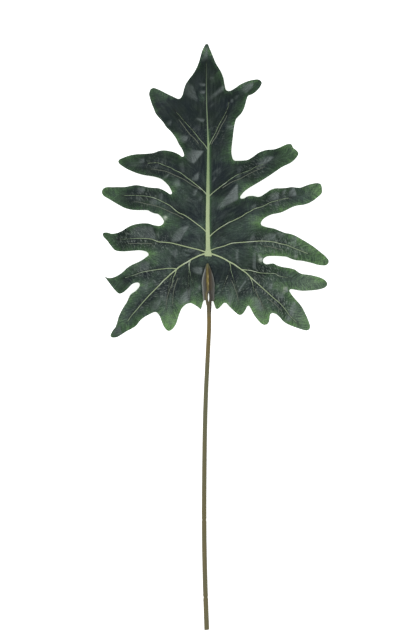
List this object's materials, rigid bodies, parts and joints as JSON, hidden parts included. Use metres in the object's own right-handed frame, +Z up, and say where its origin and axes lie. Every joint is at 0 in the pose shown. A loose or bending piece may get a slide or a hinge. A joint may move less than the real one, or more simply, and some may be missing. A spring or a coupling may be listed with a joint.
{
  "type": "artificial philodendron leaf",
  "caption": "Artificial philodendron leaf: a deeply lobed, waved fabric blade held by a brown moulded clip on a long plastic-coated wire stem, lying on a surface.",
  "frame": {"origin": "middle of the whole leaf's bounding box, on the surface that it lies on", "axes": "+Y along the leaf from the cut end of the stem to the tip of the blade, +X to the right seen from above, +Z up out of the printed side"},
  "size_m": [0.2726, 0.7038, 0.0239],
  "materials": {
    "printed_fabric": "dark green printed polyester with a soft sheen",
    "brown_plastic": "dusty brown moulding",
    "olive_plastic": "olive brown, satin",
    "steel_wire": "drawn wire"
  },
  "bodies": {
    "root": {"leaf_blade": "printed_fabric", "leaf_clip": "brown_plastic", "stem": "olive_plastic", "stem_wire": "steel_wire", "midrib_wire": "steel_wire"}
  },
  "joints": []
}
